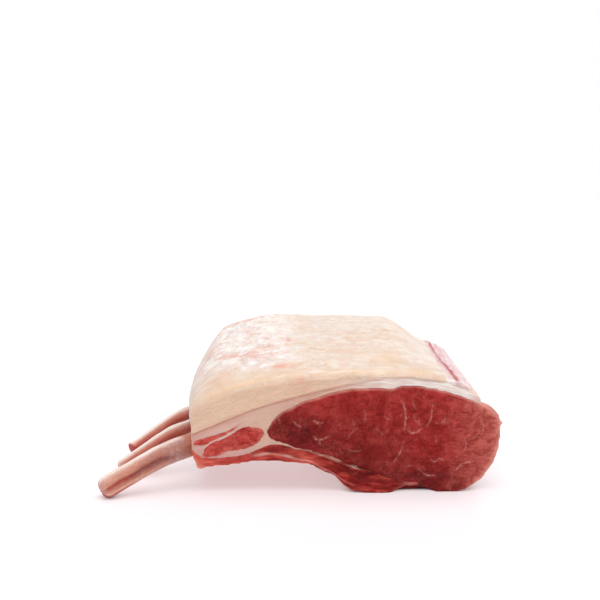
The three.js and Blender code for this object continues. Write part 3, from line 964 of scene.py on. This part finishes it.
def make_rib_meat(material):
    """The band of meat under and between the ribs, in strands, with pale sheets between them."""
    skin = Skin("ribside_meat", rib_outline, 0.5, (1, 1))
    x, y, z = skin.points.T
    # its end on the rib side slants in towards the bottom
    skin.points[:, 0] += 1.5 * smoothstep(-x, 33, 36.2) * smoothstep(z, 14, 8)
    cut, inside = skin.cut, skin.inside
    band = np.array(RIB_BAND)
    thick = np.interp(x, band[:, 0], band[:, 2])
    above = z - np.interp(x, band[:, 0], band[:, 1])
    skin.flow = np.stack([x, y, above], 1)
    grain = lumps(skin.points, (5, 4, 1.4), 21, 4)
    right = smoothstep(x, 4, 16)
    settled = 1 - np.exp(-inside / 0.8)
    strand = lumps(np.stack([x, y, above], 1), (9, 9, 1.1), 20, 3) * (0.4 + 0.6 * right)
    # like the loin, it has a foot on the board
    foot = 2.8 * smoothstep(z, 6, 0) * smoothstep(x, 10, 19) * np.where(y < RACK_LENGTH / 2, 1, 0.3)
    foot = foot * (1 - 0.8 * smoothstep(x, 29, 35))
    skin.push_cut(0.35 * settled - 0.1 + foot + cut * settled * (0.25 * grain + 0.5 * strand))
    under = smoothstep(-skin.facing[:, 2], 0.3, 0.8) * skin.side
    skin.raise_by(skin.side * (0.4 * lumps(skin.points, (4, 7, 3), 22) - 0.1))
    # its thin end lies on the board just behind the cut
    skin.points[:, 2] -= 2.6 * smoothstep(x, 29, 33) * smoothstep(y, 0.6, 2.2) * skin.side
    # pale sheets run along the band, between its muscles
    wander = 0.3 * lumps(skin.points, (7, 30, 7), 23, 2)
    level = z + wander
    upper_edge = soft_band(inside, 0.35, 0.3) * smoothstep(above, 0, 1)
    line = level - height_at(x, UPPER_SHEET)
    second = level - height_at(x, LOWER_SHEET)
    thin = 0.2 + 0.2 * smoothstep(x, 3, -3)
    fascia = soft_band(line, 0, thin) * smoothstep(x, -18, -12) * smoothstep(x, 12, 7)
    fascia += 0.5 * soft_band(second, 0, 0.2) * smoothstep(x, 7, 11) * smoothstep(x, 20, 16)
    fascia += 0.9 * patch(x, level, (18, 8.3), (2.3, 0.35), -0.33)
    fascia += upper_edge * smoothstep(x, 2, 8) * smoothstep(x, 15, 11)
    low_edge = np.exp(-inside / 0.22) * smoothstep(-above, 0, 1)
    rib_side = smoothstep(-x, 20, 34)
    corner = smoothstep(-x, 31.5, 36) * smoothstep(above, 1.5, -2)
    # painted shade in the hollow under the thin end, where it lies on the board just behind the cut; the
    # pale and the membrane are kept off it
    hollow_shade = smoothstep(x, 28, 31) * smoothstep(y, 0.2, 1.0) * smoothstep(z, 3, 1.5)
    membrane = under * (1 - hollow_shade) * smoothstep(lumps(skin.points, (14, 6, 8), 27), -0.5, 0.4)
    skin.masks = {
        "dark": cut * (
            0.35 * smoothstep(grain, 0.1, 0.5)
            + 0.3 * smoothstep(line, 0.1, 0.8) * (1 - rib_side)
            + 0.35 * smoothstep(x, 8, 22) + 0.1 * smoothstep(x, 23, 30)
            + 0.3 * patch(x, z, (17, 7), (5, 1.2), -0.4)
        )
        + hollow_shade,
        "light": cut * (
            0.9 * rib_side + 0.6 * patch(x, z, (2.5, 11.2), (4.5, 1.2), -0.3)
            + 0.2 * patch(x, z, (37, 2), (3, 1)) + 0.3 * smoothstep(-grain, 0, 0.4)
        ),
        "tip": 0.85 * corner * cut,
        "rich": 0.85 * smoothstep(x, 2, 14),
        "pale": cut * (0.72 * fascia + 0.05 * rib_side + 0.6 * low_edge * smoothstep(x, -8, 2))
        + 0.5 * membrane + 0.3 * skin.side * (1 - under) * (1 - hollow_shade),
        "white": cut * (
            0.45 * fascia * smoothstep(lumps(skin.points, 3, 24), -0.3, 0.3)
            + 0.5 * low_edge * patch(x, z, (11, 2), (5, 3)) + 0.2 * patch(x, z, (37.5, 2.2), (2.5, 1))
        )
        + 0.2 * membrane,
    }
    finish_piece(skin, material, "rib_meat", "rib_meat")


def make_outer_fat(material):
    """The fat cap: smooth where it is cut, papery and crumpled outside on the rib side."""
    top = smooth_line(CAP_TOP, False)
    seam = smooth_line(SEAM, False)
    # it reaches a little under the seam, behind the edge of the fat below
    grown = widened(np.vstack([top[1:-1], (seam - (0, LAPPED))[::-1]]), CLOSING)
    skin = Skin("fat_cap", grown, 0.52, (1, 1))
    x, y, z = skin.points.T
    seam_z = np.interp(x, seam[:, 0], seam[:, 1])
    over_seam = z - seam_z
    skin.flow = np.stack([x, y, over_seam], 1)
    cut, end = skin.cut, skin.end
    lid = np.maximum(skin.facing[:, 2], -skin.facing[:, 0])
    outside = smoothstep(lid, 0.1, 0.5) * (over_seam > 0.4)
    # the knife rounded the cap's edge over at both cuts
    round_off = np.where(y < RACK_LENGTH / 2, 2.0, 0.8)
    bite = np.clip(round_off - end, 0, None)
    fillet = round_off - np.sqrt(np.maximum(round_off**2 - bite**2, 0))
    thick = np.interp(x, CAP_THICK[:, 0], CAP_THICK[:, 1])
    share = np.clip(over_seam / thick, 0, 1)
    skin.points[:, 2] -= fillet * share**2 * np.clip(thick / 6, 0.75, 1)
    waves = lumps(np.stack([x, y, over_seam], 1), (16, 40, 2.4), 31, 2)
    uneven = 0.15 * lumps(skin.points, (12, 40, 5), 30, 2) + 0.1 * waves
    tucked = 0.5 * smoothstep(over_seam, 0.05, -0.35)
    skin.push_cut(cut * uneven * smoothstep(over_seam, 0, 2) - tucked)
    # the outside: soft hollows, and papery membrane crumpled on the rib side
    edge = x + 5 * lumps(skin.points, 12, 32) + 4 * lumps(skin.points, 4, 37)
    back = y + 3 * lumps(skin.points, 9, 36) - 11 * smoothstep(x, -16, -27)
    papery = outside * smoothstep(edge, 3, -10) * smoothstep(back, 5, 15) * smoothstep(y, 80, 76)
    papery = papery * (0.5 + 0.5 * smoothstep(x, -36.5, -32))
    crumple = lumps(skin.points, (5, 6, 4), 34, 4)
    wrinkle = creases(skin.points, (4.5, 6, 3), 33, 3)
    soft = lumps(skin.points, (16, 14, 16), 35, 2)
    skin.raise_by(outside * 0.4 * soft + papery * (0.45 * crumple + 0.25 * wrinkle - 0.15))
    ridge = soft_band(y, 1.5, 2.6) * outside
    # pink where the skin was pulled off
    pulled = (
        patch(x, y, (-18.5, 24.5), (8, 2.2), -0.5) + 0.9 * patch(x, y, (-7.5, 8.7), (7, 1.5), -0.4)
        + 0.9 * patch(x, y, (-10, 27.8), (5, 1.8), 0.05) + 0.5 * patch(x, y, (-27.5, 19), (5, 6))
        + 0.35 * patch(x, y, (-30, 9), (5, 5)) + 0.6 * patch(x, y, (-21, 73), (9, 5))
        + 0.35 * patch(x, y, (-33, 40), (3, 14)) + 0.3 * patch(x, y, (20, 41), (3, 3))
        + 0.3 * patch(x, y, (18, 30), (4, 3))
    ) * outside
    nick = patch(x, y, (-3.2, 32.5), (1.2, 2.2)) * outside
    orange = patch(x, y, (0.5, 0.6), (4, 1.0)) * (over_seam > 1)
    flake = patch(x, y, (5, 2.2), (3.5, 0.6), 0.1) + 0.7 * patch(x, y, (14, 1.6), (6, 0.6), 0.05)
    olive = patch(x, y, (-20, 1.2), (8, 0.5), 0.12) * outside
    redness = np.interp(x, [-36, -14, -6, 12, 26, 34], [0.2, 0.3, 0.5, 0.5, 0.2, 0])
    seam_line = soft_band(over_seam, 0.25, 0.3) * redness
    skin.masks = {
        "cut": 0.95 * cut * (1 - 0.6 * smoothstep(x, 4, 22)),
        "warm": 0.6 * ridge * smoothstep(x, 48, 42) + 0.5 * patch(x, y, (31, 16), (5, 8)) * outside
        + 0.3 * patch(x, y, (15, 12), (20, 6)) * outside + 0.4 * olive
        + 0.5 * patch(x, y, (-28, 9), (7, 6)) * outside + 0.4 * patch(x, y, (-14, 7), (10, 4)) * outside,
        "papery": papery,
        "pink": 1.1 * pulled + 0.15 * papery + 0.6 * orange + cut * 0.25 * np.exp(-over_seam / 1.5),
        "white": 0.2 * papery * smoothstep(crumple, 0.0, 0.4) + 0.7 * flake * outside,
        "red": cut * 0.75 * seam_line + 0.45 * nick,
    }
    finish_piece(skin, material, "fat", "outer_fat")


def make_inner_fat(material):
    """The fat under the seam, that fills the room between the muscles and closes the rib side."""
    seam = smooth_line(SEAM, False)
    edge = np.vstack([seam, CHINE_SLOPE, INSIDE_MEAT, RIB_SIDE_END])
    muscles = (eye_outline, cap_outline, strip_outline, rib_outline)

    def depth_behind(places):
        return np.max([depth_in(line, places) for line in muscles], axis=0)

    def covered(places):
        return depth_behind(places) > COVERED_DEPTH

    skin = Skin("seam_fat", widened(edge, CLOSING), 0.62, (2, 1), hidden=covered)
    x, y, z = skin.points.T
    flat = skin.points[:, [0, 2]]
    under_seam = np.interp(x, seam[:, 0], seam[:, 1]) - z
    cut = skin.cut
    off_eye, _ = nearest_on(smooth_line(LOIN_EYE), flat)
    skin.flow = np.stack([x, y, np.where(x < 0, under_seam, off_eye)], 1)
    rough = lumps(skin.points, (8, 20, 2.5), 41, 3)
    layers = lumps(np.stack([x, y, off_eye], 1), (14, 40, 0.55), 43, 2)
    # behind the muscles it stands back, so that each shows to its own edge
    lip = 0.3 * (1 - smoothstep(x, -6, 6) * smoothstep(z, 17, 14))
    held = smoothstep(depth_behind(flat), lip, lip + 0.6)
    skin.push_cut(cut * (0.07 * rough + 0.04 * layers) * (1 - held) - 0.03 - 0.8 * held)
    chine = skin.side * smoothstep(x, 47, 52)
    skin.raise_by(skin.side * 0.25 * lumps(skin.points, (3, 9, 3), 42))
    film = smoothstep(lumps(skin.points, (2.0, 9, 2.0), 44), -0.3, 0.4)
    over = smoothstep(x, 10, 34)
    wedge = patch(x, z, (-22, 12.6), (9, 1.6), 0.14) + patch(x, z, (-34, 13.0), (1.6, 3))
    tip = patch(x, z, (60, 31), (2.5, 2))
    skin.masks = {
        "white": cut * (
            0.95 * over + 0.1 * over * layers + 0.12 * wedge
            + 0.3 * patch(x, z, (-28, 20.5), (7, 1.5), 0.38)
            + 0.6 * patch(x, z, (-29, 17.2), (7, 0.8), 0.45)
        )
        + chine * 0.5 * film,
        "pink": cut * (
            0.4 * smoothstep(-x, 12, 30) + 0.6 * wedge + 0.5 * tip
            + 0.4 * soft_band(under_seam, 0, 0.9) * smoothstep(x, 16, 4)
        ),
        "lined": cut * (0.3 * smoothstep(x, -14, 0) + 0.15 * over) + 0.3 * (1 - cut),
        "lilac": chine * smoothstep(y, 2, 18) + 0.2 * wedge * cut,
        "red": cut * 0.4 * soft_band(under_seam, 0.1, 0.3) * smoothstep(-x, -22, 0)
        + 0.3 * chine * smoothstep(lumps(skin.points, (0.8, 8, 0.8), 45), 0.25, 0.5),
    }
    finish_piece(skin, material, "seam_fat", "inner_fat")


# ---------------------------------------------------------------- the rib bones

def sweep_bone(root, reach, girth, arch, end):
    """A rib's section swept along its middle line, from its worn end to its root in the meat: the
    points, how far each lies from the tip, and its share of the turn round the section. end is
    how much of the section there is at the very tip, and the length in which it fills out."""
    stations = [
        (WALL_X - out * reach, y, z + arch * math.sin(math.pi * min(out, 0.75)), size * girth)
        for out, y, z, size in BONE_OUTSIDE
    ]
    stations = np.array(stations + BONE_INSIDE)
    knots = settle(stations[:, :3] + (0, root, 0))
    path = smooth_line(knots, False, 0.4)
    steps = np.linalg.norm(np.diff(path, axis=0), axis=1)
    run = np.concatenate([[0], np.cumsum(steps)])
    knot_run = [run[np.argmin(np.linalg.norm(path - knot, axis=1))] for knot in knots]
    around = smooth_line(BONE_SECTION, True, 0.1)
    pick = np.linspace(0, len(around), BONE_SIDES, endpoint=False).astype(int)
    turn = pick / len(around)
    around = around[pick]

    def point_at(s):
        return np.array([np.interp(s, run, path[:, axis]) for axis in range(3)])

    # each ring: how far it is from the tip, and its share of the section
    blunt, length = end
    rings = [(0.02 * i, blunt * i / 6) for i in range(1, 6)]
    for s in np.linspace(0.12, length, 7):
        rings.append((s, blunt + (1 - blunt) * math.sqrt(1 - (1 - s / length) ** 2)))
    rings += [(s, 1.0) for s in np.arange(length + 0.4, run[-1] - 0.4, BONE_GRAIN)]
    rings += [(run[-1], 0.6), (run[-1] + 0.05, 0.05)]
    rows = []
    for s, share in rings:
        at = np.clip(s, 0, run[-1])
        along = point_at(min(at + 0.5, run[-1])) - point_at(max(at - 0.5, 0))
        along /= np.linalg.norm(along)
        across = np.array([0, 1, 0]) - along[1] * along
        across /= np.linalg.norm(across)
        up = np.cross(along, across)
        section = around * share * np.interp(at, knot_run, stations[:, 3])
        rows.append(point_at(at) + np.outer(section[:, 0], across) + np.outer(section[:, 1], up))
    from_tip = np.repeat([s for s, _ in rings], BONE_SIDES)
    return np.vstack(rows), from_tip, np.tile(turn, len(rings))


def make_bone(index, root, reach, girth, arch, end, material):
    """A rib, scraped clean: knobbly, with a groove along its front that runs out at the tip."""
    points, s, turn = sweep_bone(root, reach, girth, arch, end)
    here = np.arange(len(points)).reshape(-1, BONE_SIDES)
    beside = np.roll(here, -1, 1)
    faces = np.stack([beside[1:], here[1:], here[:-1], beside[:-1]], 2).reshape(-1, 4).tolist()
    faces += [here[0][::-1].tolist(), here[-1].tolist()]
    mesh = bpy.data.meshes.new(f"scraped_rib_{index}")
    mesh.from_pydata(points.tolist(), [], faces)
    mesh.update()
    normals = read(mesh, "vertex_normals", "vector")
    place = points + index * 40.0
    # the flow runs along the bone and closes round it, so that no line shows where it meets
    angle = 2 * math.pi * turn
    flow = np.stack([s + 60 * index, 4.3 * np.cos(angle), 4.3 * np.sin(angle)], 1)
    wave = 0.02 * lumps(np.stack([s, 0 * s, 0 * s], 1), 6, 56 + index)
    bed = 0.275 + 0.035 * smoothstep(s, 18, 30)
    groove = soft_band(turn + wave, bed, 0.034) * smoothstep(s, -2, 2) * smoothstep(s, 30, 22)
    fading = np.clip(s / 1.5, 0, 1)
    knobs = 0.2 * lumps(place, (12, 9, 9), 51) + 0.1 * lumps(place, (6, 2, 2), 52) - 0.1
    ragged = 0.2 * lumps(place, 2.0, 53) * np.exp(-s / 1.5)
    points = points + normals * ((knobs - GROOVE_DEPTH * groove) * fading + ragged)[:, None]
    points[:, 2] = np.maximum(points[:, 2], 0)
    write(mesh, (points + FRAME_SHIFT) / 1000)

    outside = smoothstep(s, 33, 30)
    streak = lumps(flow, (9, 1.6, 1.6), 57, 3)
    # a painted highlight runs along the crest
    off_crest = turn - 0.05 - np.round(turn - 0.05)
    crest_highlight = soft_band(off_crest, 0, 0.07)
    lower = smoothstep(turn, 0.32, 0.36) * smoothstep(turn, 0.44, 0.4)
    # the first bone shows its front, red near its tip; the others' undersides are red with blood and
    # painted shade
    first = index == 1
    blood_and_shade = smoothstep(turn, 0.36, 0.4) * smoothstep(s, 14, 8) if first else smoothstep(turn, 0.1, 0.2)
    blood_and_shade = blood_and_shade * smoothstep(turn, 0.8, 0.6) * (0.7 + 0.3 * smoothstep(s, 12, 4))
    if first:
        blood_and_shade += groove * smoothstep(s, 14, 6) * smoothstep(s, -0.5, 1)
    root_film = smoothstep(s, 19, 27) * smoothstep(lumps(place, (4, 4, 3), 55), -0.5, 0.2)
    front_root = smoothstep(s, 9, 22) * smoothstep(turn, 0.08, 0.16) * smoothstep(turn, 0.5, 0.4)
    masks = {
        "pale": (crest_highlight * (1 - 0.2 * root_film) + 0.22 * lower * first) * outside * (0.95 + 0.2 * streak),
        "root": 0.6 * front_root * first * outside,
        "groove": (0.9 if first else 0.3) * groove * (0.9 + 0.5 * streak) * smoothstep(s, 4, 11),
        "under": blood_and_shade * 0.9,
        "tip": 0.7 * np.exp(-s / 4) * (1 - blood_and_shade),
        "marrow": soft_band(s, 0, 0.5) * (1.0 if index == 3 else 0.3),
        "film": 0.7 * root_film * outside * smoothstep(turn, 0.04, 0.12) * (1 if first else 0.4),
    }
    place_piece(mesh.name, mesh, masks, flow, material, "bone", f"rib_bone_{index}")


# ---------------------------------------------------------------- making it

loin_red = raw_lamb_muscle("raw_loin", "#641a1a", "#9e2927", "#ba3d3a", "#d87f72", "#eda798")
cap_red = raw_lamb_muscle("raw_cap_muscle", "#962a2b", "#c1393a", "#dc5b50", "#e79080", "#edc3b3")
back_fat = raw_back_fat()
seam_fat = raw_seam_fat()

make_outer_fat(back_fat)
make_inner_fat(seam_fat)
make_loin_eye(loin_red)
make_cap_muscle(cap_red)
make_cap_strip(cap_red)
make_chine_strip(chine_membrane())
make_rib_meat(raw_rib_muscle())
rib_bone = scraped_rib_bone()
for index, shape in enumerate(BONES, 1):
    make_bone(index, *shape, rib_bone)


# ---------------------------------------------------------------- floor, light and camera

def make_floor():
    """A white acrylic table that glows a little from below, though it is no lamp: painted light that
    keeps the shadows on it pale.
    """
    mesh = bpy.data.meshes.new("floor")
    reach, drop = 6.0, -2e-5  # in metres; the drop keeps it just off the meat's flat underside
    corners = [(x * reach, y * reach, drop) for x, y in ((-1, -1), (1, -1), (1, 1), (-1, 1))]
    mesh.from_pydata(corners, [], [(0, 1, 2, 3)])
    floor = bpy.data.objects.new("floor", mesh)
    bpy.context.collection.objects.link(floor)
    material = bpy.data.materials.new("white_acrylic")
    material.use_nodes = True
    tree = material.node_tree
    shader = tree.nodes["Principled BSDF"]
    shader.inputs["Base Color"].default_value = linear("#c8c2c5")
    shader.inputs["Roughness"].default_value = 0.24
    shader.inputs["Specular IOR Level"].default_value = 0.25
    shader.inputs["Emission Color"].default_value = (1, 0.96, 0.97, 1)
    # painted shadow: ambient occlusion dims the glow a little under the meat and puts it out where the
    # meat rests on the table, and the glow is stronger far from it; each row: how far up it is felt,
    # what is left of it, and its curve
    lit = 1.0
    for reach_up, covered_glow, curve in ((0.03, 0.95, 1.3), (0.003, 0.0, 3.2)):
        air = node(tree, "ShaderNodeAmbientOcclusion", {"Distance": reach_up}, samples=8)
        covered = node(tree, "ShaderNodeMath", {0: 1.0, 1: air.outputs["AO"]}, operation="SUBTRACT")
        deep = node(tree, "ShaderNodeMath", {0: covered.outputs[0], 1: curve}, operation="POWER")
        left = node(
            tree,
            "ShaderNodeMapRange",
            {"Value": deep.outputs[0], "To Min": 1.0, "To Max": covered_glow},
        )
        lit = node(tree, "ShaderNodeMath", {0: lit, 1: left.outputs[0]}, operation="MULTIPLY").outputs[0]
    place = node(tree, "ShaderNodeTexCoord").outputs["Object"]
    away = node(tree, "ShaderNodeVectorMath", {0: place}, operation="LENGTH").outputs["Value"]
    glow = node(
        tree,
        "ShaderNodeMapRange",
        {"Value": away, "From Min": 0.08, "From Max": 0.3, "To Min": 0.47, "To Max": 0.75},
        interpolation_type="SMOOTHSTEP",
    ).outputs[0]
    strength = node(tree, "ShaderNodeMath", {0: glow, 1: lit}, operation="MULTIPLY").outputs[0]
    tree.links.new(strength, shader.inputs["Emission Strength"])
    mesh.materials.append(material)


def make_light():
    """A white studio: bright low round the table, dimmer above, and a softbox overhead."""
    world = bpy.data.worlds.new("studio")
    bpy.context.scene.world = world
    world.use_nodes = True
    tree = world.node_tree
    direction = node(tree, "ShaderNodeTexCoord").outputs["Generated"]
    height = node(tree, "ShaderNodeSeparateXYZ", {0: direction}).outputs["Z"]
    dimming = node(
        tree, "ShaderNodeMapRange", {"Value": height, "From Max": 0.35, "To Min": 1.2, "To Max": 0.45}
    ).outputs[0]
    seen = node(tree, "ShaderNodeLightPath").outputs["Is Camera Ray"]
    strength = node(tree, "ShaderNodeMix", {0: seen, 2: dimming, 3: 1.0}).outputs[0]
    sky = tree.nodes["Background"]
    sky.inputs["Color"].default_value = (1, 1, 1, 1)
    tree.links.new(strength, sky.inputs["Strength"])
    # the softbox, in metres and watts
    softbox = bpy.data.lights.new("softbox", "AREA")
    softbox.shape = "RECTANGLE"
    softbox.size, softbox.size_y = 0.9, 0.8
    softbox.energy = 4.7
    lamp = bpy.data.objects.new("softbox", softbox)
    lamp.location = (0.1, 0.0, 0.65)
    lamp.rotation_euler = (Vector((0, 0, 0.02)) - lamp.location).to_track_quat("-Z", "Y").to_euler()
    bpy.context.collection.objects.link(lamp)


def make_camera():
    """It stands in front of the front cut, a little above the fat cap, and looks slightly down."""
    lens = bpy.data.cameras.new("camera")
    lens.sensor_width = 36
    lens.lens = CAMERA_LENS
    camera = bpy.data.objects.new("camera", lens)
    place = Vector((np.array(CAMERA_PLACE) + FRAME_SHIFT) / 1000)
    target = Vector((np.array(CAMERA_TARGET) + FRAME_SHIFT) / 1000)
    camera.location = place
    roll = Quaternion((0, 0, 1), math.radians(CAMERA_ROLL))
    aim = (target - place).to_track_quat("-Z", "Y") @ roll
    camera.rotation_euler = aim.to_euler()
    bpy.context.collection.objects.link(camera)
    bpy.context.scene.camera = camera


make_floor()
make_light()
make_camera()
bpy.context.scene.view_settings.view_transform = "Standard"
